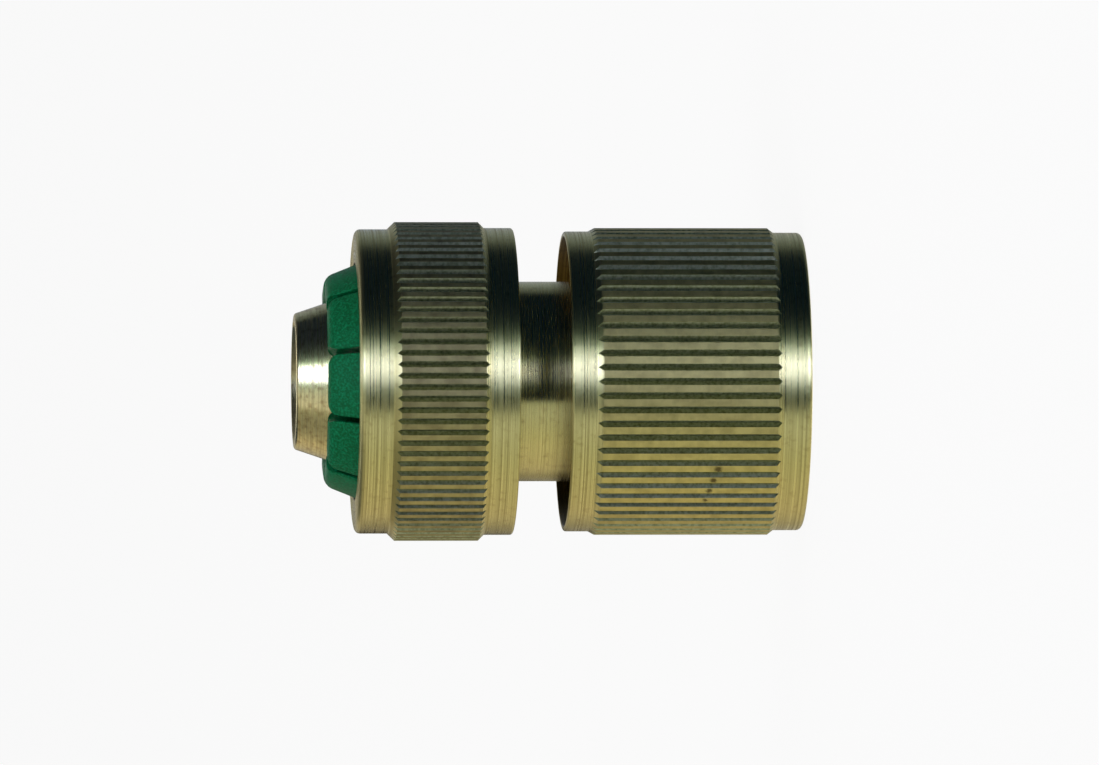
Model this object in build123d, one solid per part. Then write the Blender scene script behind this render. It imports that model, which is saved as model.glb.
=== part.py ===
from build123d import *
from math import atan, cos, pi, sin
import os

# Brass quick connector for half-inch garden hose.
# The hose is pushed over a barbed tail, and a knurled nut squeezes a ring of plastic fingers round it.
# At the other end a plug is held by steel balls, which a knurled sleeve, pushed by a spring, keeps inwards.
# Lengths are millimetres. +Z is the axis: z = 0 is the mouth end of the sleeve, on which the connector
# stands, and the hose tail points up.

# Driving sizes
nut_radius = 15.0
sleeve_radius = 14.45
sleeve_length = 22.4
nut_bottom = 27.25
nut_length = 14.85
connector_length = 47.8
neck_radius = 9.4
hose_tail_radius = 6.3
release_travel = 4.0
running_gap = 0.08

# Plug socket
plug_bore_radius = 7.9
plug_bore_bottom = 10.3
plug_bore_top = 23.2
plug_bore_cone = 1.8
collar_bore_radius = 8.8
collar_bore_cone = 0.9
socket_radius = 10.6
socket_mouth = 0.9
socket_lead_in = 0.7
flange_radius = 13.15
flange_bottom = 18.2
flange_top = 19.6

# Locking balls: each moves out by ball_lift while the sleeve makes its whole travel
ball_count = 6
ball_radius = 1.5
ball_height = 6.5
ball_reach_in = 0.9
ball_lift = 0.95
ball_play = 0.03
ball_seat_radius = 1.42
ball_seat_taper = 0.2
ball_centre_radius = collar_bore_radius - ball_reach_in + ball_radius
cam_slope = ball_lift / release_travel
cam_angle = atan(cam_slope)

# Retaining ring, which stops the sleeve at rest
ring_groove_radius = 9.9
ring_groove_bottom = 1.5
ring_groove_top = 2.5
ring_bore_radius = 9.95
ring_outer_radius = 12.45
ring_top = 2.45
ring_gap_degrees = 14
ring_gap_middle = -90

# Sleeve
sleeve_mouth_band_radius = 14.03
sleeve_mouth_band_top = 2.65
sleeve_mouth_ramp = 0.55
sleeve_rear_band_radius = 14.13
sleeve_rear_band_bottom = 20.1
sleeve_rear_ramp = 0.6
sleeve_mouth_bore_radius = 12.6
sleeve_mouth_chamfer = 0.4
sleeve_edge_chamfer = 0.2
sleeve_shoulder = 9.2
sleeve_bore_radius = flange_radius + 2 * running_gap
skirt_bore_radius = 13.6
skirt_bore_bottom = 19.6
skirt_bore_cone = 0.3

# Clamp nut and its thread, M26 x 1.5, which is left plain here at its major diameter
thread_radius = 13.0
thread_bottom = 27.9
thread_top = 34.2
thread_chamfer = 0.5
thread_relief = 0.8
nut_lower_band_radius = 14.45
nut_lower_band_top = 29.95
nut_lower_ramp = 0.55
nut_lower_chamfer = 0.25
nut_upper_band_radius = 14.32
nut_upper_band_bottom = 39.05
nut_upper_ramp = 0.7
nut_upper_rounding = 0.5
nut_chamber_radius = 12.35
nut_top = nut_bottom + nut_length

# Straight knurls; the nut's grooves start half a pitch round
nut_groove_count = 88
nut_groove_width = 0.56
nut_groove_depth = 0.36
nut_groove_start = 0.5
sleeve_groove_count = 68
sleeve_groove_width = 0.64
sleeve_groove_depth = 0.29
sleeve_groove_start = 0
groove_run_out = 0.2

# Water way and hose tail
water_way_radius = 4.75
water_way_countersink = 1.0
tail_tip_radius = 6.45
tail_tip_chamfer = 0.25
tail_crest_radius = 7.6
tail_crest_height = 44.15
barb_pitch = 3.2
barb_step = 0.55
barb_count = 3

# Finger ring, shown closed on the empty tail as in use without a hose
finger_count = 10
finger_ring_radius = 12.1
finger_ring_bore_radius = 9.8
finger_top = 44.95
finger_mouth_radius = 10.95
finger_slope = 0.4
finger_rounding = 0.95
finger_lip_radius = 7.7
finger_lip_length = 1.6
finger_lip_step = 0.7
finger_lip_fall = 0.3
finger_gap_root = 0.8
finger_gap_tip = 0.42
finger_corner = 0.6
first_slot_degrees = -2
slot_bottom = 37.0
cone_play = 0.15
tooth_count = 3
tooth_bottom = 38.6
tooth_pitch = 1.5
tooth_lean = 0.35
tooth_depth = 0.4
tooth_rise = 0.15
tooth_relief = 0.6

# Spring
spring_wire_radius = 0.6
spring_radius = 11.9
spring_turns = 3
wire_sides = 6

# A turned corner that is rounded has this many flat steps
corner_steps = 2


def turned(*outline):
    """Solid turned about Z from its half section, a closed outline of (radius, height) points."""
    return revolve(Plane.XZ * make_face(Polyline(*outline, close=True)), Axis.Z)


def rounded(radius, height, size, side):
    """Points up round a top corner: side is 1 on an outer edge and -1 on the edge of a bore."""
    turns = [pi / 2 * i / corner_steps for i in range(corner_steps + 1)]
    return [(radius - side * size * (1 - cos(turn)), height - size * (1 - sin(turn))) for turn in turns]


def knurled(blank, count, start, crest_radius, width, depth, bottom, top):
    """The blank with V-grooves along its crest; start is how many pitches round the first one lies."""
    clear = 0.3
    half = (width / 2) * (depth + clear) / depth
    groove = make_face(
        Polyline(
            (crest_radius - depth, 0),
            (crest_radius + clear, half),
            (crest_radius + clear, -half),
            close=True,
        )
    )
    cutter = extrude(Pos(0, 0, bottom) * groove, top - bottom)
    return blank - [Rot(0, 0, 360 * (i + start) / count) * cutter for i in range(count)]


def barbs():
    """Outline of the hose tail from its tip down: cones that widen towards the nut, each ending in a step."""
    outline = [
        (tail_tip_radius - tail_tip_chamfer, connector_length),
        (tail_tip_radius, connector_length - tail_tip_chamfer),
    ]
    for i in range(barb_count):
        crest = tail_crest_height - i * barb_pitch
        outline += [(tail_crest_radius, crest), (hose_tail_radius, crest - barb_step)]
    return outline


def ball_hole():
    """Cutter for one radial hole, along X: it tapers inwards, so that its ball can't fall into the bore."""
    clear = 0.5
    start = collar_bore_radius - clear
    end = socket_radius + clear
    start_radius = ball_seat_radius - ball_seat_taper * (collar_bore_radius - start)
    end_radius = ball_seat_radius + ball_seat_taper * (end - collar_bore_radius)
    profile = Polyline((start, 0), (end, 0), (end, end_radius), (start, start_radius), close=True)
    return Pos(0, 0, ball_height) * revolve(make_face(profile), Axis.X)


def body():
    """One turned piece: plug socket, flange, neck, threaded collar and barbed hose tail."""
    crest_radius = thread_radius - running_gap / 2
    turning = turned(
        (collar_bore_radius + socket_lead_in, socket_mouth),
        (socket_radius, socket_mouth),
        (socket_radius, ring_groove_bottom),
        (ring_groove_radius, ring_groove_bottom),
        (ring_groove_radius, ring_groove_top),
        (socket_radius, ring_groove_top),
        (socket_radius, flange_bottom),
        (flange_radius, flange_bottom),
        (flange_radius, flange_top),
        (neck_radius, flange_top),
        (neck_radius, thread_bottom),
        (crest_radius - thread_chamfer, thread_bottom),
        (crest_radius, thread_bottom + thread_chamfer),
        (crest_radius, thread_top - thread_chamfer),
        (crest_radius - thread_chamfer, thread_top),
        (hose_tail_radius, thread_top),
        *reversed(barbs()),
        (water_way_radius + water_way_countersink, connector_length),
        (water_way_radius, connector_length - water_way_countersink),
        (water_way_radius, plug_bore_top + plug_bore_cone),
        (plug_bore_radius, plug_bore_top),
        (plug_bore_radius, plug_bore_bottom),
        (collar_bore_radius, plug_bore_bottom - collar_bore_cone),
        (collar_bore_radius, socket_mouth + socket_lead_in),
    )
    holes = [Rot(0, 0, 360 * i / ball_count) * ball_hole() for i in range(ball_count)]
    return turning - holes


def retaining_ring():
    """Flat snap ring with a gap, seated in the groove at the socket's mouth."""
    section = make_face(
        Polyline(
            (ring_bore_radius, ring_groove_bottom),
            (ring_outer_radius, ring_groove_bottom),
            (ring_outer_radius, ring_top),
            (ring_bore_radius, ring_top),
            close=True,
        )
    )
    ring = revolve(Plane.XZ * section, Axis.Z, 360 - ring_gap_degrees)
    return Rot(0, 0, ring_gap_middle + ring_gap_degrees / 2) * ring


def ball(index):
    """One locking ball in its hole, pressed in by the sleeve."""
    return Rot(0, 0, 360 * index / ball_count) * Pos(ball_centre_radius, 0, ball_height) * Sphere(ball_radius)


def release_sleeve():
    """Knurled sleeve with the cone that works the balls, the spring's shoulder and a thin skirt."""
    cam_radius = ball_centre_radius + (ball_radius + ball_play) * cos(cam_angle)
    cam_height = ball_height + (ball_radius + ball_play) * sin(cam_angle)
    land_radius = socket_radius + running_gap
    cam_top = cam_height + (cam_radius - land_radius) / cam_slope
    cam_mouth_radius = cam_radius + (cam_height - ring_top) * cam_slope
    blank = turned(
        (sleeve_mouth_bore_radius + sleeve_edge_chamfer, 0),
        (sleeve_mouth_band_radius - sleeve_mouth_chamfer, 0),
        (sleeve_mouth_band_radius, sleeve_mouth_chamfer),
        (sleeve_mouth_band_radius, sleeve_mouth_band_top),
        (sleeve_radius, sleeve_mouth_band_top + sleeve_mouth_ramp),
        (sleeve_radius, sleeve_rear_band_bottom - sleeve_rear_ramp),
        (sleeve_rear_band_radius, sleeve_rear_band_bottom),
        (sleeve_rear_band_radius, sleeve_length - sleeve_edge_chamfer),
        (sleeve_rear_band_radius - sleeve_edge_chamfer, sleeve_length),
        (skirt_bore_radius, sleeve_length),
        (skirt_bore_radius, skirt_bore_bottom),
        (sleeve_bore_radius, skirt_bore_bottom - skirt_bore_cone),
        (sleeve_bore_radius, sleeve_shoulder),
        (land_radius, sleeve_shoulder),
        (land_radius, cam_top),
        (cam_mouth_radius, ring_top),
        (sleeve_mouth_bore_radius, ring_top),
        (sleeve_mouth_bore_radius, sleeve_edge_chamfer),
    )
    return knurled(
        blank,
        sleeve_groove_count,
        sleeve_groove_start,
        sleeve_radius,
        sleeve_groove_width,
        sleeve_groove_depth,
        sleeve_mouth_band_top - groove_run_out,
        sleeve_rear_band_bottom + groove_run_out,
    )


def clamp_nut():
    """Knurled nut: threaded bore below, and above it the cone that closes the fingers."""
    cone_mouth_radius = finger_mouth_radius + cone_play
    cone_bottom = nut_top - (nut_chamber_radius - cone_mouth_radius) / finger_slope
    bore_radius = thread_radius + running_gap / 2
    relief_top = thread_top + thread_relief
    blank = turned(
        (bore_radius + thread_chamfer, nut_bottom),
        (nut_lower_band_radius - nut_lower_chamfer, nut_bottom),
        (nut_lower_band_radius, nut_bottom + nut_lower_chamfer),
        (nut_lower_band_radius, nut_lower_band_top),
        (nut_radius, nut_lower_band_top + nut_lower_ramp),
        (nut_radius, nut_upper_band_bottom - nut_upper_ramp),
        (nut_upper_band_radius, nut_upper_band_bottom),
        *rounded(nut_upper_band_radius, nut_top, nut_upper_rounding, 1),
        (cone_mouth_radius, nut_top),
        (nut_chamber_radius, cone_bottom),
        (nut_chamber_radius, relief_top + bore_radius - nut_chamber_radius),
        (bore_radius, relief_top),
        (bore_radius, nut_bottom + thread_chamfer),
    )
    return knurled(
        blank,
        nut_groove_count,
        nut_groove_start,
        nut_radius,
        nut_groove_width,
        nut_groove_depth,
        nut_lower_band_top - groove_run_out,
        nut_upper_band_bottom + groove_run_out,
    )


def finger_ring_turning():
    """The finger ring before it is slotted: a collar, tapering fingers with inner teeth, and a lip."""
    cone_bottom = nut_top - (finger_ring_radius - finger_mouth_radius) / finger_slope
    shoulder_radius = finger_mouth_radius - finger_slope * (finger_top - finger_rounding - nut_top)
    teeth = []
    for i in range(tooth_count):
        height = tooth_bottom + tooth_pitch * i
        inner = finger_ring_bore_radius - tooth_lean * (i + 1)
        teeth += [(inner, height), (inner - tooth_depth, height + tooth_rise)]
    return turned(
        (finger_ring_radius, thread_top),
        (finger_ring_radius, cone_bottom),
        *rounded(shoulder_radius, finger_top, finger_rounding, 1),
        *reversed(rounded(finger_lip_radius, finger_top, finger_rounding, -1)),
        (finger_lip_radius, finger_top - finger_lip_length),
        (finger_lip_radius + finger_lip_step, finger_top - finger_lip_length - finger_lip_fall),
        *reversed(teeth),
        (finger_ring_bore_radius, tooth_bottom - tooth_relief),
        (finger_ring_bore_radius, thread_top),
    )


def finger_slot():
    """Cutter along +X between two fingers: it narrows upwards and rounds the fingers' corners."""
    clear = 0.4
    root = finger_gap_root / 2
    tip = finger_gap_tip / 2
    wide = tip + finger_corner
    outline = Polyline(
        (-root, slot_bottom),
        (-tip, finger_top - finger_corner),
        (-wide, finger_top),
        (-wide, finger_top + clear),
        (wide, finger_top + clear),
        (wide, finger_top),
        (tip, finger_top - finger_corner),
        (root, slot_bottom),
        close=True,
    )
    return extrude(Plane.YZ * make_face(outline), finger_ring_radius + clear)


def grip_fingers():
    """Plastic ring of fingers that grips the hose, moulded in one piece."""
    slot = Rot(0, 0, first_slot_degrees) * finger_slot()
    return finger_ring_turning() - [Rot(0, 0, 360 * i / finger_count) * slot for i in range(finger_count)]


def release_spring():
    """Compression spring between the sleeve's shoulder and the body's flange, with ground ends."""
    space = flange_bottom - sleeve_shoulder
    path = Helix(space / spring_turns, space + 2 * spring_wire_radius, spring_radius)
    wire = Plane(origin=path @ 0, z_dir=path % 0) * RegularPolygon(spring_wire_radius, wire_sides)
    coil = Pos(0, 0, -spring_wire_radius) * sweep(wire, path=path, is_frenet=True)
    ground = Pos(0, 0, space / 2) * Cylinder(2 * spring_radius, space)
    return Pos(0, 0, sleeve_shoulder) * (coil & ground)


pieces = {
    "body": body(),
    "retaining_ring": retaining_ring(),
    "release_sleeve": release_sleeve(),
    "release_spring": release_spring(),
    "clamp_nut": clamp_nut(),
    "grip_fingers": grip_fingers(),
}
for i in range(ball_count):
    pieces[f"locking_ball_{i + 1}"] = ball(i)

os.makedirs("parts", exist_ok=True)
for name, solid in pieces.items():
    export_step(solid, f"parts/{name}.step")
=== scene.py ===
import bpy
import bmesh
from math import asin, atan2, cos, hypot, pi, radians, sin, sqrt
from mathutils import Matrix, Vector


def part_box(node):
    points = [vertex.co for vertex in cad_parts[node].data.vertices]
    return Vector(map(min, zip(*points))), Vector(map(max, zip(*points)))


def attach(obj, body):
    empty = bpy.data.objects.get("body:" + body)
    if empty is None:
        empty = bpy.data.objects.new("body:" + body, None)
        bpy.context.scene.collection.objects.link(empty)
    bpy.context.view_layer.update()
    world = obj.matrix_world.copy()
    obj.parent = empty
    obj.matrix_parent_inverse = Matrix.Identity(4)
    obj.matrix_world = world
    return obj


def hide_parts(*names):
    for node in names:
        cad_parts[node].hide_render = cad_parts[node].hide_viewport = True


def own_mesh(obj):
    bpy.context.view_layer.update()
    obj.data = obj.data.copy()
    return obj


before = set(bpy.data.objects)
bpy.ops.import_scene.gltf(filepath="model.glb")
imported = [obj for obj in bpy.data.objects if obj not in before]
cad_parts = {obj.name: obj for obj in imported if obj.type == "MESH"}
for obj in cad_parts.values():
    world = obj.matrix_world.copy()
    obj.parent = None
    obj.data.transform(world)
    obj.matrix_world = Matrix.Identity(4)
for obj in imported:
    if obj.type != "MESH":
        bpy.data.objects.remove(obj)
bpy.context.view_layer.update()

# Brass quick connector for half-inch hose, standing on its sleeve with the hose tail up.
# Sizes are in millimetres and are multiplied by mm, because the scene is in metres.
mm = 0.001
centre = Vector((0, 0, 0))
zAxis = Vector((0, 0, 1))
fullTurn = 2 * pi
roundSteps = 256  # faces round a plain turned piece
hair = 0.002 * mm  # heights and radii closer than this are the same


# Shapes

def heightsOf(node):
    # the lowest and highest point of a CAD node, for the dictionary of its piece
    low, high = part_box(node)
    return {'low': low[2] / mm, 'high': high[2] / mm}


def drawOutline(outline):
    # half section in the XZ plane from (radius, height) points; a third number rounds that corner
    bm = bmesh.new()
    corners = [bm.verts.new((point[0] * mm, 0, point[1] * mm)) for point in outline]
    for first, second in zip(corners, corners[1:] + corners[:1]):
        bm.edges.new((first, second))
    for corner, point in zip(corners, outline):
        if len(point) > 2:
            bmesh.ops.bevel(bm, geom=[corner], offset=point[2] * mm, offset_type='OFFSET', segments=4,
                            profile=0.5, affect='VERTICES', material=-1, clamp_overlap=True)
    return bm


def turnOutline(outline, steps=roundSteps):
    # the half section spun once round the axis, as a lathe would leave it
    bm = drawOutline(outline)
    bmesh.ops.spin(bm, geom=bm.verts[:] + bm.edges[:], cent=centre, axis=zAxis, dvec=centre,
                   angle=fullTurn, steps=steps, use_merge=True)
    bmesh.ops.recalc_face_normals(bm, faces=bm.faces)
    return bm


def sweepRound(bm, turns, steps, pitch=0):
    # sweeps a closed section round the axis, and up by the pitch at every turn
    section = bm.verts[:] + bm.edges[:] + bm.faces[:]
    bmesh.ops.spin(bm, geom=section, cent=centre, axis=zAxis, dvec=zAxis * (pitch * mm * turns / steps),
                   angle=fullTurn * turns, steps=steps)


def cutEnds(bm, low, high):
    # everything below low and above high is cut away, and both cuts are closed
    for height, up in ((low, -1), (high, 1)):
        cut = bmesh.ops.bisect_plane(bm, geom=bm.verts[:] + bm.edges[:] + bm.faces[:],
                                     plane_co=(0, 0, height * mm), plane_no=(0, 0, up),
                                     clear_outer=True, dist=1e-8)
        rim = [item for item in cut['geom_cut'] if isinstance(item, bmesh.types.BMEdge)]
        bmesh.ops.holes_fill(bm, edges=rim)
    bmesh.ops.recalc_face_normals(bm, faces=bm.faces)


def radiusOf(vertex):
    return hypot(vertex.co.x, vertex.co.y)


def columnOf(vertex, steps):
    # which of the steps round the axis the vertex stands on
    return round(atan2(vertex.co.y, vertex.co.x) / fullTurn * steps) % steps


def rollKnurl(bm, knurl):
    # four lines of vertices to a groove: its root, its two edges and the middle of the crest. The root rises
    # to the bottom of the chamfer at both ends
    steps = 4 * knurl['count']
    toEdge = knurl['width'] / 2 / knurl['crest'] - fullTurn / steps
    bottom = knurl['bottom'] * mm
    low, high = knurl['low'] * mm, knurl['high'] * mm

    def isBetween(vertex):
        return low + hair < vertex.co.z < high - hair

    def lineOf(column):
        return [vertex for vertex in bm.verts if low - hair < vertex.co.z < high + hair
                and radiusOf(vertex) > bottom - hair and columnOf(vertex, steps) % 4 == column]

    for column, side in ((1, 1), (3, -1)):
        bmesh.ops.rotate(bm, verts=lineOf(column), cent=centre, matrix=Matrix.Rotation(side * toEdge, 3, 'Z'))
    rootLine = lineOf(0)
    for vertex in rootLine:
        vertex.co.xy *= (knurl['root'] * mm if isBetween(vertex) else bottom) / radiusOf(vertex)
    onRoot = set(rootLine)
    for vertex in rootLine:
        if isBetween(vertex):
            continue
        for face in list(vertex.link_faces):
            across = [other for other in face.verts if other not in onRoot and isBetween(other)]
            if len(across) == 1 and len(face.verts) == 4:
                bmesh.utils.face_split(face, vertex, across[0])
    bmesh.ops.rotate(bm, verts=bm.verts, cent=centre, matrix=Matrix.Rotation(radians(knurl['turn']), 3, 'Z'))


def paintKnurl(bm, knurl, crestSlot, grooveSlot):
    # the crests keep the skin of the drawn bar, and the grooves are rolled into it
    crest, root = knurl['crest'] * mm, knurl['root'] * mm
    low, high = knurl['low'] * mm, knurl['high'] * mm
    for face in bm.faces:
        radii = [radiusOf(vertex) for vertex in face.verts]
        heights = [vertex.co.z for vertex in face.verts]
        if min(radii) < root - hair or min(heights) < low - hair or max(heights) > high + hair:
            continue
        if min(radii) > crest - hair:
            face.material_index = crestSlot
        elif min(radii) < root + hair:
            face.material_index = grooveSlot


def paintWhere(bm, slot, test):
    # gives a material slot to the faces that pass the test
    for face in bm.faces:
        if test(face):
            face.material_index = slot


def facesAxis(face):
    # true inside a bore, and on a cone that turns towards the axis by more than the tilt
    tilt = 0.1
    spot, normal = face.calc_center_median(), face.normal
    return spot.x * normal.x + spot.y * normal.y < -tilt * hypot(spot.x, spot.y)


def makeThread(thread):
    # a V-shaped ridge wound round a cylinder, sunk a little into its wall and cut off square at both ends
    start, pitch, stepsPerTurn = thread['start'], thread['pitch'], thread['stepsPerTurn']
    root, crest, flat, half = thread['root'], thread['crest'], thread['flat'], thread['pitch'] / 2
    sunk = root - thread['sunk'] if crest > root else root + thread['sunk']
    bm = drawOutline([(sunk, start - half + flat), (root, start - half + flat), (crest, start - flat),
                      (crest, start + flat), (root, start + half - flat), (sunk, start + half - flat)])
    bmesh.ops.holes_fill(bm, edges=bm.edges[:])
    steps = int(((thread['top'] - start) / pitch + 1) * stepsPerTurn)
    sweepRound(bm, steps / stepsPerTurn, steps, pitch)
    cutEnds(bm, thread['bottom'], thread['top'])
    return bm


def joinMeshes(bm, other):
    # adds the faces of another bmesh to the first one
    spare = bpy.data.meshes.new('spare')
    other.to_mesh(spare)
    bm.from_mesh(spare)
    other.free()
    bpy.data.meshes.remove(spare)


def makeObject(name, bm):
    # a bmesh put into the scene as it is
    mesh = bpy.data.meshes.new(name)
    bm.to_mesh(mesh)
    bm.free()
    thing = bpy.data.objects.new(name, mesh)
    bpy.context.collection.objects.link(thing)
    return thing


def makePiece(name, bm, materials, body, node, sharp=32, weighted=True):
    # turns a bmesh into a finished piece that stands for its CAD node; edges over sharp degrees stay crisp
    for face in bm.faces:
        face.smooth = True
    for edge in bm.edges:
        edge.smooth = len(edge.link_faces) == 2 and edge.calc_face_angle() < radians(sharp)
    piece = makeObject(name, bm)
    for material in materials:
        piece.data.materials.append(material)
    if weighted:
        weigh = piece.modifiers.new('weighted normals', 'WEIGHTED_NORMAL')
        weigh.keep_sharp = True
    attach(piece, body)
    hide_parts(node)
    return piece


# Materials

def hexColour(code):
    # sRGB hex to the linear numbers that the shaders take
    parts = [int(code[i:i + 2], 16) / 255 for i in (1, 3, 5)]
    return tuple(p / 12.92 if p <= 0.04045 else ((p + 0.055) / 1.055) ** 2.4 for p in parts) + (1,)


def setSockets(material, node, sockets):
    # a socket takes a value or the output that feeds it
    for name, value in sockets.items():
        if isinstance(value, bpy.types.NodeSocket):
            material.node_tree.links.new(value, node.inputs[name])
        else:
            node.inputs[name].default_value = value


def addNode(material, kind, sockets=None, stops=(), **settings):
    # one node with its settings and links; a colour ramp also takes its (position, colour) stops
    node = material.node_tree.nodes.new(kind)
    for name, value in settings.items():
        setattr(node, name, value)
    setSockets(material, node, sockets or {})
    if stops:
        elements = node.color_ramp.elements
        while len(elements) < len(stops):
            elements.new(1.0)
        for element, (position, colour) in zip(elements, stops):
            element.position = position
            element.color = colour
    return node


def startMaterial(name, sockets):
    # a material with only its Principled shader, and that shader
    material = bpy.data.materials.new(name)
    material.use_nodes = True
    shader = material.node_tree.nodes['Principled BSDF']
    setSockets(material, shader, sockets)
    return material, shader


def latheRings(material, place, pitch):
    # 1D noise along the axis, so each tool mark is a ring; part of the radius is added, so that flat faces
    # have their rings too
    outward = 0.77
    parts = addNode(material, 'ShaderNodeSeparateXYZ', {0: place}).outputs
    flat = addNode(material, 'ShaderNodeCombineXYZ', {0: parts[0], 1: parts[1]}).outputs[0]
    radius = addNode(material, 'ShaderNodeVectorMath', {0: flat}, operation='LENGTH').outputs['Value']
    out = addNode(material, 'ShaderNodeMath', {0: radius, 1: outward}, operation='MULTIPLY').outputs[0]
    along = addNode(material, 'ShaderNodeMath', {0: parts[2], 1: out}, operation='ADD').outputs[0]
    return addNode(material, 'ShaderNodeTexNoise', {'W': along, 'Scale': 1 / (pitch * mm), 'Detail': 3.0,
                                                    'Roughness': 0.7}, noise_dimensions='1D').outputs[0]


def ringDirection(material, place):
    # the way round the axis, in which a lathe tool or a rolled groove leaves its marks
    across = addNode(material, 'ShaderNodeVectorMath', {0: (0, 0, 1), 1: place},
                     operation='CROSS_PRODUCT').outputs[0]
    return addNode(material, 'ShaderNodeVectorTransform', {0: across}, vector_type='VECTOR',
                   convert_from='OBJECT', convert_to='WORLD').outputs[0]


def makeBrass(name, look):
    # bare free-cutting brass: rings round the axis, a duller skin in patches, and a fine grain
    material, shader = startMaterial(name, {'Metallic': 1.0, 'Anisotropic': look['spread'],
                                            'Anisotropic Rotation': look['turn']})
    clean, dull = hexColour(look['clean']), hexColour(look['dull'])
    place = addNode(material, 'ShaderNodeTexCoord').outputs['Object']
    rings = latheRings(material, place, look['ringPitch'])
    patches = addNode(material, 'ShaderNodeTexNoise', {
        'Vector': place, 'Scale': 1 / (look['patch'] * mm), 'Detail': 4.0}).outputs[0]
    grain = addNode(material, 'ShaderNodeTexNoise', {
        'Vector': place, 'Scale': 1 / (look['grain'] * mm), 'Detail': 2.0}).outputs[0]
    rough = addNode(material, 'ShaderNodeMapRange', {
        'Value': rings, 'From Min': 0.35, 'From Max': 0.65,
        'To Min': look['rough'][0], 'To Max': look['rough'][1]}).outputs[0]
    dirt = addNode(material, 'ShaderNodeMapRange', {
        'Value': patches, 'From Min': look['dirt'][0], 'From Max': look['dirt'][1]}).outputs[0]
    skin = addNode(material, 'ShaderNodeMix', {'Factor': dirt, 'A': clean, 'B': dull},
                   data_type='RGBA').outputs['Result']
    shade = addNode(material, 'ShaderNodeMapRange', {
        'Value': rings, 'From Min': 0.35, 'From Max': 0.75, 'To Max': look['ringShade']}).outputs[0]
    ringed = addNode(material, 'ShaderNodeMix', {'Factor': shade, 'A': skin, 'B': dull},
                     data_type='RGBA').outputs['Result']
    marks = addNode(material, 'ShaderNodeBump', {
        'Height': rings, 'Strength': 1.0, 'Distance': look['ringDepth'] * mm}).outputs[0]
    bump = addNode(material, 'ShaderNodeBump', {
        'Height': grain, 'Strength': 1.0, 'Distance': look['grainDepth'] * mm, 'Normal': marks}).outputs[0]
    colour = addStains(material, place, ringed, look['stains']) if 'stains' in look else ringed
    setSockets(material, shader, {'Base Color': colour, 'Roughness': rough, 'Normal': bump,
                                  'Tangent': ringDirection(material, place)})
    return material


def addStains(material, place, colour, stains):
    # small brown marks on a turned surface, ragged at the edge
    ragged = addNode(material, 'ShaderNodeTexNoise', {
        'Vector': place, 'Scale': 1 / (stains['edge'] * mm)}).outputs['Color']
    shift = addNode(material, 'ShaderNodeVectorMath', {0: ragged, 'Scale': stains['wander'] * mm},
                    operation='SCALE').outputs[0]
    near = addNode(material, 'ShaderNodeVectorMath', {0: place, 1: shift}, operation='ADD').outputs[0]
    for height, angle, size in stains['spots']:
        turn = radians(angle)
        spot = (-stains['radius'] * sin(turn), -stains['radius'] * cos(turn), height)
        middle = [(value + stains['drift']) * mm for value in spot]
        away = addNode(material, 'ShaderNodeVectorMath', {0: near, 1: middle},
                       operation='DISTANCE').outputs['Value']
        cover = addNode(material, 'ShaderNodeMapRange', {
            'Value': away, 'From Min': size * mm, 'From Max': stains['core'] * size * mm,
            'To Max': stains['cover']}).outputs[0]
        colour = addNode(material, 'ShaderNodeMix', {
            'Factor': cover, 'A': colour, 'B': hexColour(stains['colour'])},
            data_type='RGBA').outputs['Result']
    return colour


turnedLook = {'clean': '#E6D995', 'dull': '#C4B274', 'patch': 0.6, 'dirt': (0.55, 0.8), 'rough': (0.2, 0.48),
              'spread': 1.0, 'turn': 0.25, 'ringPitch': 0.22, 'ringDepth': 0.02, 'ringShade': 0.7,
              'grain': 0.12, 'grainDepth': 0.002}
neckLook = {**turnedLook, 'rough': (0.18, 0.3), 'ringDepth': 0.002, 'ringShade': 0.3}
tailLook = {**turnedLook, 'clean': '#E8D8A0', 'dull': '#A08252', 'patch': 0.45, 'dirt': (0.5, 0.8),
            'rough': (0.16, 0.32), 'spread': 0.8, 'ringDepth': 0.006, 'ringShade': 0.3}
# darker brass for the faces turned towards the axis: painted shade in the bores
shadedBoreLook = {**turnedLook, 'clean': '#8A7443', 'dull': '#5E4A2A', 'rough': (0.4, 0.55)}
nutBarLook = {'clean': '#BAAA70', 'dull': '#9A8A58', 'patch': 1.2, 'dirt': (0.4, 0.7), 'rough': (0.43, 0.49),
              'spread': 0.2, 'turn': 0.25, 'ringPitch': 0.3, 'ringDepth': 0.001, 'ringShade': 0.1,
              'grain': 0.12, 'grainDepth': 0.006}
# A stain's spot is its height, its angle from the front towards -X, and its size. The core is the share of
# the size that is covered in full. The wander makes the edge ragged, and the drift undoes its mean.
sleeveBarLook = {**nutBarLook, 'clean': '#D6C47A', 'dull': '#BAA866', 'stains': {
    'colour': '#3A2A18', 'cover': 0.8, 'core': 0.4, 'radius': 14.45, 'edge': 0.25, 'wander': 0.45,
    'drift': 0.22, 'spots': [(8.7, 34.6, 0.5), (9.1, 39.7, 0.4), (9.4, 45.0, 0.4), (9.7, 50.3, 0.3)]}}
rolledLook = {'clean': '#B4B48A', 'dull': '#888A62', 'patch': 0.3, 'dirt': (0.4, 0.7), 'rough': (0.33, 0.36),
              'spread': 0.0, 'turn': 0.0, 'ringPitch': 0.3, 'ringDepth': 0.0, 'ringShade': 0.0,
              'grain': 0.1, 'grainDepth': 0.005}
turnedBrass = makeBrass('turned brass', turnedLook)  # bright, with fine rings round the axis
neckBrass = makeBrass('faced brass', neckLook)  # smoother, so that it mirrors the dark room
tailBrass = makeBrass('handled brass', tailLook)  # turned too, with brown patches where the hose was
shadedBoreBrass = makeBrass('brass bore with painted shade', shadedBoreLook)  # darkened as painted shade inside the bores and on the cones that face the axis
nutBar = makeBrass('drawn brass bar', nutBarLook)  # satin skin on the crests of the nut's knurl
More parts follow.
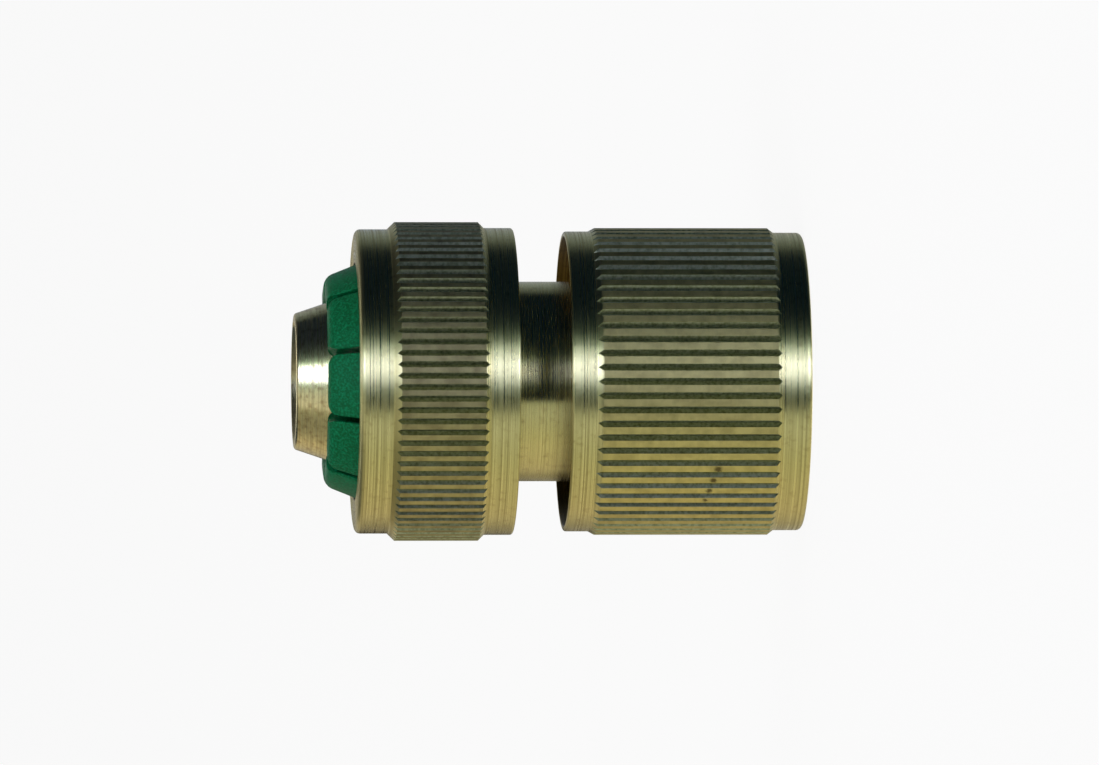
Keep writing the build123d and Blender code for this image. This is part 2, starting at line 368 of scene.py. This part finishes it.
sleeveBar = makeBrass('drawn brass tube', sleeveBarLook)  # the same on the sleeve, with four brown stains
rolledBrass = makeBrass('rolled brass groove', rolledLook)  # greyer than the bar, with a fine grain


def makeMouldedPlastic(name, look):
    # dyed polyamide from a spark-eroded mould: satin, with a fine grain bump that breaks up its highlights,
    # and lighter green speckles painted into its colour as glints
    material, shader = startMaterial(name, {'Specular IOR Level': 0.1, 'IOR': 1.53})
    place = addNode(material, 'ShaderNodeTexCoord').outputs['Object']
    grain = addNode(material, 'ShaderNodeTexNoise', {
        'Vector': place, 'Scale': 1 / (look['grain'] * mm), 'Detail': 3.0}).outputs[0]
    clouds = addNode(material, 'ShaderNodeTexNoise', {
        'Vector': place, 'Scale': 1 / (look['cloud'] * mm), 'Detail': 2.0}).outputs[0]
    dye = addNode(material, 'ShaderNodeMix', {
        'Factor': clouds, 'A': hexColour(look['light']), 'B': hexColour(look['dark'])},
        data_type='RGBA').outputs['Result']
    # lighter green speckles from the grain, painted into the colour as glints
    spots = addNode(material, 'ShaderNodeMapRange', {
        'Value': grain, 'From Min': 0.42, 'From Max': 0.68}).outputs[0]
    withPaintedGlints = addNode(material, 'ShaderNodeMix', {
        'Factor': spots, 'A': dye, 'B': hexColour(look['glintGreen'])}, data_type='RGBA').outputs['Result']
    rough = addNode(material, 'ShaderNodeMapRange', {
        'Value': grain, 'To Min': look['rough'][0], 'To Max': look['rough'][1]}).outputs[0]
    bump = addNode(material, 'ShaderNodeBump', {
        'Height': grain, 'Strength': 1.0, 'Distance': look['grainDepth'] * mm}).outputs[0]
    setSockets(material, shader, {'Base Color': withPaintedGlints, 'Roughness': rough, 'Normal': bump})
    return material


plasticLook = {'light': '#005A32', 'dark': '#004C29', 'glintGreen': '#08764C', 'grain': 0.2, 'cloud': 3,
               'rough': (0.34, 0.5), 'grainDepth': 0.09}
greenPlastic = makeMouldedPlastic('moulded green polyamide', plasticLook)


def makeSteel(name, look):
    # bare steel: drawn wire and strip are greyer and rougher than a ground and lapped ball
    material, shader = startMaterial(name, {'Metallic': 1.0})
    place = addNode(material, 'ShaderNodeTexCoord').outputs['Object']
    patches = addNode(material, 'ShaderNodeTexNoise', {
        'Vector': place, 'Scale': 1 / (look['patch'] * mm), 'Detail': 3.0}).outputs[0]
    skin = addNode(material, 'ShaderNodeMix', {
        'Factor': patches, 'A': hexColour(look['clean']), 'B': hexColour(look['dull'])},
        data_type='RGBA').outputs['Result']
    rough = addNode(material, 'ShaderNodeMapRange', {
        'Value': patches, 'To Min': look['rough'][0], 'To Max': look['rough'][1]}).outputs[0]
    setSockets(material, shader, {'Base Color': skin, 'Roughness': rough})
    return material


wireLook = {'clean': '#B5B4AE', 'dull': '#93928C', 'patch': 1.5, 'rough': (0.25, 0.4)}
ballLook = {'clean': '#D5D5D2', 'dull': '#CBCBC8', 'patch': 1, 'rough': (0.05, 0.1)}
wireSteel = makeSteel('drawn spring steel', wireLook)
ballSteel = makeSteel('lapped ball steel', ballLook)
print('materials made')


# Clamp nut

nut = {**heightsOf('clamp_nut'), 'lowerBand': 14.45, 'lowerBandTop': 29.95, 'upperBand': 14.32,
       'upperBandBottom': 39.05, 'threadBore': 13.04, 'threadBoreTop': 35.0, 'threadChamfer': 0.5,
       'chamber': 12.35, 'chamberBottom': 35.69, 'mouth': 11.1, 'mouthSlope': 0.4,
       'rounding': {'thread': 0.05, 'lowerBand': 0.22, 'upperBand': 0.5, 'mouth': 0.12},
       'knurl': {'count': 88, 'width': 0.56, 'crest': 15.0, 'bottom': 14.64, 'root': 14.62, 'low': 30.14,
                 'crestLow': 30.5, 'crestHigh': 38.35, 'high': 38.72, 'turn': 180 / 88},
       'thread': {'pitch': 1.5, 'start': 26.5, 'bottom': 27.6, 'top': 34.9, 'root': 13.04, 'crest': 12.19,
                  'flat': 0.1, 'sunk': 0.3, 'stepsPerTurn': 160}}


def makeNut():
    knurl, rounding = nut['knurl'], nut['rounding']
    chamberTop = nut['high'] - (nut['chamber'] - nut['mouth']) / nut['mouthSlope']
    outline = [
        (nut['threadBore'] + nut['threadChamfer'], nut['low'], rounding['thread']),
        (nut['lowerBand'], nut['low'], rounding['lowerBand']),
        (nut['lowerBand'], nut['lowerBandTop']),
        (knurl['bottom'], knurl['low']),
        (knurl['crest'], knurl['crestLow']),
        (knurl['crest'], knurl['crestHigh']),
        (knurl['bottom'], knurl['high']),
        (nut['upperBand'], nut['upperBandBottom']),
        (nut['upperBand'], nut['high'], rounding['upperBand']),
        (nut['mouth'], nut['high'], rounding['mouth']),
        (nut['chamber'], chamberTop),
        (nut['chamber'], nut['chamberBottom']),
        (nut['threadBore'], nut['threadBoreTop']),
        (nut['threadBore'], nut['low'] + nut['threadChamfer']),
    ]
    bm = turnOutline(outline, 4 * knurl['count'])
    rollKnurl(bm, knurl)
    paintKnurl(bm, knurl, crestSlot=1, grooveSlot=2)
    joinMeshes(bm, makeThread(nut['thread']))
    # faces turned towards the axis get the bore brass, darkened as painted shade
    paintWhere(bm, slot=3, test=facesAxis)
    makePiece('clampNut', bm, [turnedBrass, nutBar, rolledBrass, shadedBoreBrass], 'nut', 'clamp_nut')


makeNut()
print('clamp nut made')


# Release sleeve

sleeve = {**heightsOf('release_sleeve'), 'mouthBand': 14.03, 'mouthBandTop': 2.65, 'rearBand': 14.13,
          'rearBandBottom': 20.1, 'mouthBore': 12.6, 'stop': 2.45, 'camMouth': 11.94, 'camTop': 7.74,
          'land': 10.68, 'shoulder': 9.2, 'springBore': 13.31, 'springBoreTop': 19.3, 'skirt': 13.6,
          'skirtBottom': 19.6,
          'rounding': {'mouthBore': 0.2, 'mouthBand': 0.45, 'rearBand': 0.22, 'skirt': 0.1, 'land': 0.1},
          'knurl': {'count': 68, 'width': 0.64, 'crest': 14.45, 'bottom': 14.16, 'root': 14.03, 'low': 2.82,
                    'crestLow': 3.2, 'crestHigh': 19.5, 'high': 20.04, 'turn': 0}}


def makeSleeve():
    knurl, rounding = sleeve['knurl'], sleeve['rounding']
    outline = [
        (sleeve['mouthBore'], sleeve['low'], rounding['mouthBore']),
        (sleeve['mouthBand'], sleeve['low'], rounding['mouthBand']),
        (sleeve['mouthBand'], sleeve['mouthBandTop']),
        (knurl['bottom'], knurl['low']),
        (knurl['crest'], knurl['crestLow']),
        (knurl['crest'], knurl['crestHigh']),
        (knurl['bottom'], knurl['high']),
        (sleeve['rearBand'], sleeve['rearBandBottom']),
        (sleeve['rearBand'], sleeve['high'], rounding['rearBand']),
        (sleeve['skirt'], sleeve['high'], rounding['skirt']),
        (sleeve['skirt'], sleeve['skirtBottom']),
        (sleeve['springBore'], sleeve['springBoreTop']),
        (sleeve['springBore'], sleeve['shoulder']),
        (sleeve['land'], sleeve['shoulder'], rounding['land']),
        (sleeve['land'], sleeve['camTop']),
        (sleeve['camMouth'], sleeve['stop']),
        (sleeve['mouthBore'], sleeve['stop']),
    ]
    bm = turnOutline(outline, 4 * knurl['count'])
    rollKnurl(bm, knurl)
    paintKnurl(bm, knurl, crestSlot=1, grooveSlot=2)
    # faces turned towards the axis get the bore brass, darkened as painted shade
    paintWhere(bm, slot=3, test=facesAxis)
    makePiece('releaseSleeve', bm, [turnedBrass, sleeveBar, rolledBrass, shadedBoreBrass], 'sleeve',
              'release_sleeve')


makeSleeve()
print('release sleeve made')


# Body: plug socket, flange, neck, threaded collar and barbed tail in one piece

bodySizes = {**heightsOf('body'), 'tipRadius': 6.37, 'countersink': 1.0, 'tail': 6.3, 'waterWay': 4.75,
             'waterWayBottom': 25.0, 'barbs': 3, 'crest': 7.6, 'firstCrest': 44.15, 'barbPitch': 3.2,
             'barbStep': 0.55, 'collar': 12.1, 'collarBottom': 27.9, 'collarTop': 34.2, 'neck': 9.4,
             'flange': 13.15, 'flangeBottom': 18.2, 'flangeTop': 19.6, 'socket': 10.6, 'ringGroove': 9.9,
             'grooveBottom': 1.5, 'grooveTop': 2.5, 'entry': 8.8, 'entryTop': 9.4, 'leadIn': 0.7,
             'plugBore': 7.9, 'plugBoreBottom': 10.3, 'plugBoreTop': 23.2,
             'rounding': {'mouth': 0.12, 'flange': 0.25, 'neckBottom': 0.4, 'neckTop': 0.3,
                          'collarBottom': 0.2, 'collarTop': 0.3, 'tailBottom': 0.4, 'barb': 0.06,
                          'barbStep': 0.1, 'tip': 0.22, 'waterWay': 0.2, 'plugBore': 0.1},
             'thread': {'pitch': 1.5, 'start': 27.25, 'bottom': 28.0, 'top': 34.1, 'root': 12.1,
                        'crest': 12.95, 'flat': 0.1, 'sunk': 0.3, 'stepsPerTurn': 160}}
balls = {'count': 6, 'radius': 1.5, 'centre': 9.4, 'height': 6.5, 'seat': 1.42, 'taper': 0.2,
         'holeStart': 8.0, 'holeEnd': 11.4}


def barbOutline():
    # from the tip down: each cone widens towards the nut and ends in a step
    size, rounding = bodySizes, bodySizes['rounding']
    points = [(size['tipRadius'], size['high'], rounding['tip'])]
    for i in range(size['barbs']):
        crest = size['firstCrest'] - i * size['barbPitch']
        points += [(size['crest'], crest, rounding['barb']),
                   (size['tail'], crest - size['barbStep'], rounding['barbStep'])]
    return points


def ballHoleCutter():
    # six tapered cones, each narrower than its ball at the inner end
    start, end = balls['holeStart'], balls['holeEnd']
    narrow = balls['seat'] - balls['taper'] * (bodySizes['entry'] - start)
    wide = balls['seat'] + balls['taper'] * (end - bodySizes['entry'])
    bm = bmesh.new()
    lie = Matrix.Translation(((start + end) / 2 * mm, 0, balls['height'] * mm))
    bmesh.ops.create_cone(bm, cap_ends=True, segments=48, radius1=narrow * mm, radius2=wide * mm,
                          depth=(end - start) * mm, matrix=lie @ Matrix.Rotation(pi / 2, 4, 'Y'))
    others = balls['count'] - 1
    bmesh.ops.spin(bm, geom=bm.verts[:] + bm.edges[:] + bm.faces[:], cent=centre, axis=zAxis, dvec=centre,
                   angle=fullTurn * others / balls['count'], steps=others, use_duplicate=True)
    return makeObject('holes', bm)


def drill(bm, cutter):
    # cuts the cutter out of the bmesh and gives back the drilled bmesh
    blank = makeObject('blank', bm)
    cut = blank.modifiers.new('cut', 'BOOLEAN')
    cut.operation = 'DIFFERENCE'
    cut.solver = 'EXACT'
    cut.object = cutter
    drilled = bmesh.new()
    drilled.from_object(blank, bpy.context.evaluated_depsgraph_get())
    for spare in (blank, cutter):
        mesh = spare.data
        bpy.data.objects.remove(spare)
        bpy.data.meshes.remove(mesh)
    return drilled


def isTail(face):
    return face.calc_center_median().z > bodySizes['collarTop'] * mm


def isNeck(face):
    # with the flat faces at both ends of the neck
    margin = 0.1
    height = face.calc_center_median().z / mm
    return bodySizes['flangeTop'] - margin < height < bodySizes['collarBottom'] + margin


def makeBody():
    size, rounding = bodySizes, bodySizes['rounding']
    outline = [
        (size['entry'] + size['leadIn'], size['low']),
        (size['socket'], size['low'], rounding['mouth']),
        (size['socket'], size['grooveBottom']),
        (size['ringGroove'], size['grooveBottom']),
        (size['ringGroove'], size['grooveTop']),
        (size['socket'], size['grooveTop']),
        (size['socket'], size['flangeBottom']),
        (size['flange'], size['flangeBottom']),
        (size['flange'], size['flangeTop'], rounding['flange']),
        (size['neck'], size['flangeTop'], rounding['neckBottom']),
        (size['neck'], size['collarBottom'], rounding['neckTop']),
        (size['collar'], size['collarBottom'], rounding['collarBottom']),
        (size['collar'], size['collarTop'], rounding['collarTop']),
        (size['tail'], size['collarTop'], rounding['tailBottom']),
        *reversed(barbOutline()),
        (size['waterWay'] + size['countersink'], size['high']),
        (size['waterWay'], size['high'] - size['countersink'], rounding['waterWay']),
        (size['waterWay'], size['waterWayBottom']),
        (size['plugBore'], size['plugBoreTop'], rounding['plugBore']),
        (size['plugBore'], size['plugBoreBottom'], rounding['plugBore']),
        (size['entry'], size['entryTop']),
        (size['entry'], size['low'] + size['leadIn']),
    ]
    bm = drill(turnOutline(outline), ballHoleCutter())
    joinMeshes(bm, makeThread(size['thread']))
    paintWhere(bm, slot=1, test=isTail)
    paintWhere(bm, slot=2, test=isNeck)
    makePiece('body', bm, [turnedBrass, tailBrass, neckBrass], 'root', 'body')


makeBody()
print('body made')


# Grip fingers

fingers = {**heightsOf('grip_fingers'), 'count': 10, 'columns': 13, 'turn': -2, 'ring': 12.1, 'ringBore': 9.8,
           'slotBottom': 37.0, 'gapRoot': 0.8, 'gapTip': 0.42, 'mouth': 10.95, 'slope': 0.4, 'shoulder': 1.0,
           'tipCorner': 0.7, 'lip': 7.7, 'lipLength': 1.6, 'lipStep': 0.7, 'lipFall': 0.3, 'teeth': 3,
           'toothBottom': 38.6, 'toothPitch': 1.5, 'toothLean': 0.35, 'toothDepth': 0.4, 'toothRise': 0.15,
           'toothRelief': 0.6, 'seenTip': 1.2, 'seenAboveLip': 0.5, 'seenAboveBore': 0.3,
           'rounding': {'ring': 0.15, 'tip': 0.75, 'lip': 0.6, 'lipBottom': 0.1, 'tooth': 0.05,
                        'slot': 0.16}}


def halfGap(height):
    # half the slot's width at that height; the fingers' top corners are rounded off
    rise = max(0, (height - fingers['slotBottom']) / (fingers['high'] - fingers['slotBottom']))
    gap = fingers['gapRoot'] / 2 * (1 - rise) + fingers['gapTip'] / 2 * rise
    corner = fingers['tipCorner']
    into = max(0, height - (fingers['high'] - corner)) / corner
    return gap + corner * (1 - sqrt(max(0, 1 - into * into)))


def fingerOutline():
    # up the outside along the nut's cone, over the tip, and down the inside over the lip and the teeth
    top, lip, slope, rounding = fingers['high'], fingers['lip'], fingers['slope'], fingers['rounding']
    shoulder = top - fingers['shoulder']
    coneBottom = nut['high'] - (fingers['ring'] - fingers['mouth']) / slope
    lipBottom = top - fingers['lipLength']
    points = [
        (fingers['ring'], fingers['low'], rounding['ring']),
        (fingers['ring'], fingers['slotBottom']),
        (fingers['ring'], coneBottom),
        (fingers['mouth'], nut['high']),
        (fingers['mouth'] - slope * (shoulder - nut['high']), shoulder),
        (fingers['mouth'] - slope * (top - nut['high']), top, rounding['tip']),
        (lip, top, rounding['lip']),
        (lip, lipBottom, rounding['lipBottom']),
        (lip + fingers['lipStep'], lipBottom - fingers['lipFall']),
    ]
    for i in reversed(range(fingers['teeth'])):
        height = fingers['toothBottom'] + fingers['toothPitch'] * i
        inner = fingers['ringBore'] - fingers['toothLean'] * (i + 1)
        points += [(inner - fingers['toothDepth'], height + fingers['toothRise'], rounding['tooth']),
                   (inner, height, rounding['tooth'])]
    return points + [
        (fingers['ringBore'], fingers['toothBottom'] - fingers['toothRelief']),
        (fingers['ringBore'], fingers['slotBottom']),
        (fingers['ringBore'], fingers['low'], rounding['ring']),
    ]


def spreadFingers(bm, steps):
    # draws the columns of each finger together, so that the last column before the next one spans the slot
    columns, pitch = fingers['columns'], fullTurn / fingers['count']
    numbers = {}
    for vertex in bm.verts:
        numbers[vertex] = columnOf(vertex, steps)
        finger, column = divmod(numbers[vertex], columns)
        radius = radiusOf(vertex) / mm
        reach = pitch / 2 - asin(halfGap(vertex.co.z / mm) / radius)
        across = column / (columns - 1) * 2 - 1
        angle = finger * pitch + across * reach + radians(fingers['turn']) + pitch / 2
        vertex.co.x, vertex.co.y = radius * mm * cos(angle), radius * mm * sin(angle)
    return numbers


def openSlots(bm, steps, numbers):
    # takes out the faces that span the slots, and gives each slot its floor; gives back the new sides
    columns, slotBottom = fingers['columns'], fingers['slotBottom'] * mm
    ends = {0, columns - 1}
    slotFaces = [face for face in bm.faces if {numbers[vertex] % columns for vertex in face.verts} == ends
                 and min(vertex.co.z for vertex in face.verts) > slotBottom - hair]
    bmesh.ops.delete(bm, geom=slotFaces, context='FACES_ONLY')
    floors = [vertex for vertex in bm.verts if abs(vertex.co.z - slotBottom) < hair
              and numbers[vertex] % columns in ends]
    for finger in range(fingers['count']):
        first = finger * columns + columns - 1
        second = (first + 1) % steps
        corners = sorted((vertex for vertex in floors if numbers[vertex] in (first, second)), key=radiusOf)
        inner = sorted(corners[:2], key=lambda vertex: numbers[vertex] == second)
        outer = sorted(corners[2:], key=lambda vertex: numbers[vertex] == first)
        bm.faces.new(inner + outer)
    bmesh.ops.delete(bm, geom=[edge for edge in bm.edges if not edge.link_faces], context='EDGES')
    sides = bmesh.ops.holes_fill(bm, edges=[edge for edge in bm.edges if edge.is_boundary])['faces']
    bmesh.ops.recalc_face_normals(bm, faces=bm.faces)
    return sides


def isSeenEdge(edge):
    # the slot's edges round the tip and down the finger's outer face, not the ones among the teeth
    radius = min(radiusOf(vertex) for vertex in edge.verts) / mm
    low, high = sorted(vertex.co.z / mm for vertex in edge.verts)
    atTip = high > fingers['high'] - fingers['seenTip'] and radius > fingers['lip'] + fingers['seenAboveLip']
    outside = radius > fingers['ringBore'] + fingers['seenAboveBore']
    return low > fingers['slotBottom'] + hair / mm and (atTip or outside)


def makeFingers():
    steps = fingers['count'] * fingers['columns']
    bm = turnOutline(fingerOutline(), steps)
    numbers = spreadFingers(bm, steps)
    sides = openSlots(bm, steps, numbers)
    seen = [edge for face in sides for edge in face.edges if isSeenEdge(edge)]
    bmesh.ops.bevel(bm, geom=seen, offset=fingers['rounding']['slot'] * mm, offset_type='OFFSET', segments=3,
                    profile=0.5, affect='EDGES', material=-1, clamp_overlap=True)
    makePiece('gripFingers', bm, [greenPlastic], 'finger_ring', 'grip_fingers', sharp=40)


makeFingers()
print('grip fingers made')


# Release spring

spring = {**heightsOf('release_spring'), 'radius': 11.9, 'wire': 0.6, 'turns': 3, 'stepsPerTurn': 96,
          'travel': 4.0}


def makeSpring():
    # round wire wound in a helix, with both ends ground flat
    space, travel = spring['high'] - spring['low'], spring['travel']
    pitch = space / spring['turns']
    steps = int((spring['turns'] + 2 * spring['wire'] / pitch) * spring['stepsPerTurn'])
    bm = bmesh.new()
    lie = Matrix.Translation((spring['radius'] * mm, 0, (spring['low'] - spring['wire']) * mm))
    bmesh.ops.create_circle(bm, cap_ends=True, segments=20, radius=spring['wire'] * mm,
                            matrix=lie @ Matrix.Rotation(pi / 2, 4, 'X'))
    sweepRound(bm, steps / spring['stepsPerTurn'], steps, pitch)
    cutEnds(bm, spring['low'], spring['high'])
    piece = makePiece('releaseSpring', bm, [wireSteel], 'root', 'release_spring', sharp=50,
                      weighted=False)
    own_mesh(piece)


makeSpring()
print('release spring made')


# Retaining ring

retainer = {**heightsOf('retaining_ring'), 'inner': 9.95, 'outer': 12.45, 'edge': 0.06, 'gap': 14,
            'gapAt': -90, 'steps': 160}


def makeRetainer():
    # flat strip bent into a ring, its ends cut square
    inner, outer, low, high, edge = [retainer[name] for name in ('inner', 'outer', 'low', 'high', 'edge')]
    bm = drawOutline([(inner, low, edge), (outer, low, edge), (outer, high, edge), (inner, high, edge)])
    bmesh.ops.holes_fill(bm, edges=bm.edges[:])
    toGap = Matrix.Rotation(radians(retainer['gapAt'] + retainer['gap'] / 2), 3, 'Z')
    bmesh.ops.rotate(bm, verts=bm.verts, cent=centre, matrix=toGap)
    sweepRound(bm, (360 - retainer['gap']) / 360, retainer['steps'])
    bmesh.ops.recalc_face_normals(bm, faces=bm.faces)
    makePiece('retainingRing', bm, [wireSteel], 'root', 'retaining_ring', sharp=50)


makeRetainer()
print('retaining ring made')


# Locking balls

def makeBall(index):
    angle = fullTurn * (index - 1) / balls['count']
    bm = bmesh.new()
    spot = Vector((balls['centre'] * cos(angle), balls['centre'] * sin(angle), balls['height'])) * mm
    bmesh.ops.create_icosphere(bm, subdivisions=4, radius=balls['radius'] * mm,
                               matrix=Matrix.Translation(spot))
    makePiece(f'lockingBall{index}', bm, [ballSteel], f'ball_{index}', f'locking_ball_{index}',
              weighted=False)


for number in range(1, balls['count'] + 1):
    makeBall(number)
print('locking balls made')


# Floor, light and camera, in metres

def setOnStage(name, bm, material):
    thing = makeObject(name, bm)
    thing.data.materials.append(material)
    return thing


floorLook = {'card': '#E6E6E6', 'rough': 0.9, 'gloss': 0.1, 'glow': 0.9, 'radius': 12}


def makeFloor():
    # matt white card, shown nearly white to the camera and still keeping the shadow
    material, shader = startMaterial('white card', {
        'Base Color': hexColour(floorLook['card']), 'Roughness': floorLook['rough'],
        'Specular IOR Level': floorLook['gloss']})
    rays = addNode(material, 'ShaderNodeLightPath').outputs
    glow = addNode(material, 'ShaderNodeEmission', {'Color': (1, 1, 1, 1), 'Strength': 1.0}).outputs[0]
    seen = addNode(material, 'ShaderNodeMath', {0: rays['Is Camera Ray'], 1: floorLook['glow']},
                   operation='MULTIPLY').outputs[0]
    mixed = addNode(material, 'ShaderNodeMixShader', {0: seen, 1: shader.outputs[0], 2: glow}).outputs[0]
    setSockets(material, material.node_tree.nodes['Material Output'], {'Surface': mixed})
    bm = bmesh.new()
    bmesh.ops.create_circle(bm, cap_ends=True, segments=128, radius=floorLook['radius'])
    floor = setOnStage('floor', bm, material)
    floor.visible_glossy = False


# What the metal mirrors. Angles go round from the camera's side towards the camera's up. The room is dark
# above the camera and pale below it, and two soft boxes stand out towards the ends of the connector, with a
# weaker pair behind it.
tent = {'radius': 0.3, 'height': 0.03,
        'level': [(-180, '#181210'), (-137, '#2A2018'), (-121, '#A8A49E'), (-80, '#D0CABE'), (-34, '#A2A4A4'),
                  (-23, '#7C868C'), (-18, '#080E18'), (60, '#080E18'), (116, '#0A121C'), (126, '#434B60'),
                  (145, '#74849E'), (180, '#9AA4B4')],
        'sides': [(-180, '#A4A298'), (-118, '#D0C8B0'), (-66, '#C8CCB4'), (-36, '#C6D0CC'), (-26, '#BCC6C0'),
                  (-21, '#0C1A2C'), (60, '#0A1A2C'), (119, '#0C1C30'), (125, '#4C585E'), (145, '#808E98'),
                  (180, '#A4A298')],
        'sidesFrom': (2, 7),
        'hoseEnd': [(-142, '#3A4654'), (-105, '#565A5C'), (-66, '#7E807A'), (-52, '#A0A494'),
                    (-45, '#DCDEDC'), (-18, '#CCD8DC'), (-8, '#7A8A92'), (14, '#4A5A64'), (44, '#3C4852'),
                    (75, '#222A38'), (100, '#242C38'), (135, '#50545C'), (180, '#808488')],
        'hoseEndFrom': (21, 28),
        'boxStrength': 12.0,
        'boxAcross': [(-180, '#E4E6E0', 0.2), (-172, '#E4E6E0', 0.2), (-164, '#E4E6E0', 0),
                      (-28, '#BEDEDE', 0), (-16, '#BEDEDE', 0.012), (-5, '#BEDCE8', 0.08),
                      (2, '#BCCEFF', 0.5), (8, '#BCC9FF', 1), (18, '#BCC9FF', 1), (25, '#BCD4F4', 0.5),
                      (31, '#B8DCE0', 0.1), (41, '#B4DCE0', 0.012), (58, '#A0C8D0', 0),
                      (164, '#E4E6E0', 0), (172, '#E4E6E0', 0.2), (180, '#E4E6E0', 0.2)],
        'boxAlong': [(25, 0), (31, 1), (50, 1), (66, 0)]}


def roundTent(turn):
    # an angle as a place on a ramp that runs once round the tent
    return (turn + 180) / 360


def dim(colour, strength):
    # a hex colour at part of its strength
    return [part * strength for part in hexColour(colour)[:3]] + [1]


def paintTent(material):
    # the light that comes from each part of the tent, as the output of a node
    place = addNode(material, 'ShaderNodeTexCoord').outputs['Object']
    away = addNode(material, 'ShaderNodeVectorMath', {0: place, 1: (0, 0, tent['height'])},
                   operation='SUBTRACT').outputs[0]
    parts = addNode(material, 'ShaderNodeSeparateXYZ', {0: away}).outputs
    minusY = addNode(material, 'ShaderNodeMath', {0: parts[1], 1: -1.0}, operation='MULTIPLY').outputs[0]
    angle = addNode(material, 'ShaderNodeMath', {0: parts[0], 1: minusY}, operation='ARCTAN2').outputs[0]
    share = addNode(material, 'ShaderNodeMapRange', {
        'Value': angle, 'From Min': -pi, 'From Max': pi}).outputs[0]
    rise = addNode(material, 'ShaderNodeMath', {0: parts[2], 1: tent['radius']},
                   operation='DIVIDE').outputs[0]
    steep = addNode(material, 'ShaderNodeMath', {0: rise}, operation='ABSOLUTE').outputs[0]
    level, sides, hoseEnd = [
        addNode(material, 'ShaderNodeValToRGB', {0: share}, stops=[
            (roundTent(turn), hexColour(colour)) for turn, colour in cards]).outputs[0]
        for cards in (tent['level'], tent['sides'], tent['hoseEnd'])]
    room = level
    for height, start, cards in ((steep, 'sidesFrom', sides), (rise, 'hoseEndFrom', hoseEnd)):
        low, high = [sin(radians(turn)) for turn in tent[start]]
        near = addNode(material, 'ShaderNodeMapRange', {
            'Value': height, 'From Min': low, 'From Max': high}).outputs[0]
        room = addNode(material, 'ShaderNodeMix', {'Factor': near, 'A': room, 'B': cards},
                       data_type='RGBA').outputs['Result']
    across = addNode(material, 'ShaderNodeValToRGB', {0: share}, stops=[
        (roundTent(turn), dim(colour, strength)) for turn, colour, strength in tent['boxAcross']]).outputs[0]
    along = addNode(material, 'ShaderNodeValToRGB', {0: steep}, stops=[
        (sin(radians(turn)), dim('#FFFFFF', strength)) for turn, strength in tent['boxAlong']]).outputs[0]
    box = addNode(material, 'ShaderNodeVectorMath', {0: across, 1: along}, operation='MULTIPLY').outputs[0]
    bright = addNode(material, 'ShaderNodeVectorMath', {0: box, 'Scale': tent['boxStrength']},
                     operation='SCALE').outputs[0]
    return addNode(material, 'ShaderNodeVectorMath', {0: room, 1: bright}, operation='ADD').outputs[0]


def makeTent():
    # a globe of light and dark cards round the object that only mirrors see
    material, shader = startMaterial('light tent', {})
    material.node_tree.nodes.remove(shader)
    glow = addNode(material, 'ShaderNodeEmission', {'Color': paintTent(material), 'Strength': 1.0}).outputs[0]
    setSockets(material, material.node_tree.nodes['Material Output'], {'Surface': glow})
    bm = bmesh.new()
    bmesh.ops.create_uvsphere(bm, u_segments=96, v_segments=48, radius=tent['radius'],
                              matrix=Matrix.Translation((0, 0, tent['height'])))
    globe = setOnStage('lightTent', bm, material)
    globe.visible_camera = False
    globe.visible_diffuse = False
    globe.visible_shadow = False
    globe.visible_transmission = False


lamps = {'keyLamp': {'place': (-0.9, -2.2, 2.0), 'size': 1.6, 'power': 30},
         'fillLamp': {'place': (1.8, -1.2, 1.6), 'size': 2.0, 'power': 8}}
lampAim = Vector((0, 0, 0.024))  # the middle of the object


def makeLamp(name, lamp):
    # a square soft box
    light = bpy.data.lights.new(name, 'AREA')
    light.shape = 'SQUARE'
    light.size = lamp['size']
    light.energy = lamp['power']
    thing = bpy.data.objects.new(name, light)
    thing.location = lamp['place']
    thing.rotation_euler = (lampAim - Vector(lamp['place'])).to_track_quat('-Z', 'Y').to_euler()
    thing.visible_glossy = False
    bpy.context.collection.objects.link(thing)


def makeWorld():
    # white to look at and in mirrors, and a soft grey light on everything else
    world = bpy.data.worlds.new('studio')
    bpy.context.scene.world = world
    world.use_nodes = True
    rays = addNode(world, 'ShaderNodeLightPath').outputs
    seen = addNode(world, 'ShaderNodeMath', {0: rays['Is Camera Ray'], 1: rays['Is Glossy Ray']},
                   operation='MAXIMUM').outputs[0]
    seen = addNode(world, 'ShaderNodeMath', {0: seen, 1: rays['Is Transmission Ray']},
                   operation='MAXIMUM').outputs[0]
    strength = addNode(world, 'ShaderNodeMapRange', {'Value': seen, 'To Min': 0.5, 'To Max': 1.0}).outputs[0]
    setSockets(world, world.node_tree.nodes['Background'], {'Color': (1, 1, 1, 1), 'Strength': strength})


# The photograph's view: level with the hose end turned a little towards the camera, which lies on its side,
# so that the connector's axis runs across the picture with the hose tail on the left. Distance is in metres.
view = {'distance': 1.09, 'elevation': 3.7, 'aim': 23.69, 'lens': 379, 'off': -0.1}


def makeCamera():
    data = bpy.data.cameras.new('camera')
    data.lens = view['lens']
    data.sensor_width = 36
    data.clip_start = 0.05
    data.clip_end = 50
    camera = bpy.data.objects.new('camera', data)
    tilt = radians(view['elevation'])
    back = Vector((0, -cos(tilt), sin(tilt)))
    right = Vector((0, -sin(tilt), -cos(tilt)))
    up = back.cross(right)
    turn = Matrix((right, up, back)).transposed()
    place = Vector((view['off'] * mm, 0, view['aim'] * mm)) + back * view['distance']
    camera.matrix_world = Matrix.Translation(place) @ turn.to_4x4()
    bpy.context.collection.objects.link(camera)
    bpy.context.scene.camera = camera


makeFloor()
makeTent()
makeWorld()
for lampName, lampSettings in lamps.items():
    makeLamp(lampName, lampSettings)
makeCamera()
bpy.context.scene.view_settings.view_transform = 'Standard'
print('stage, light and camera made')
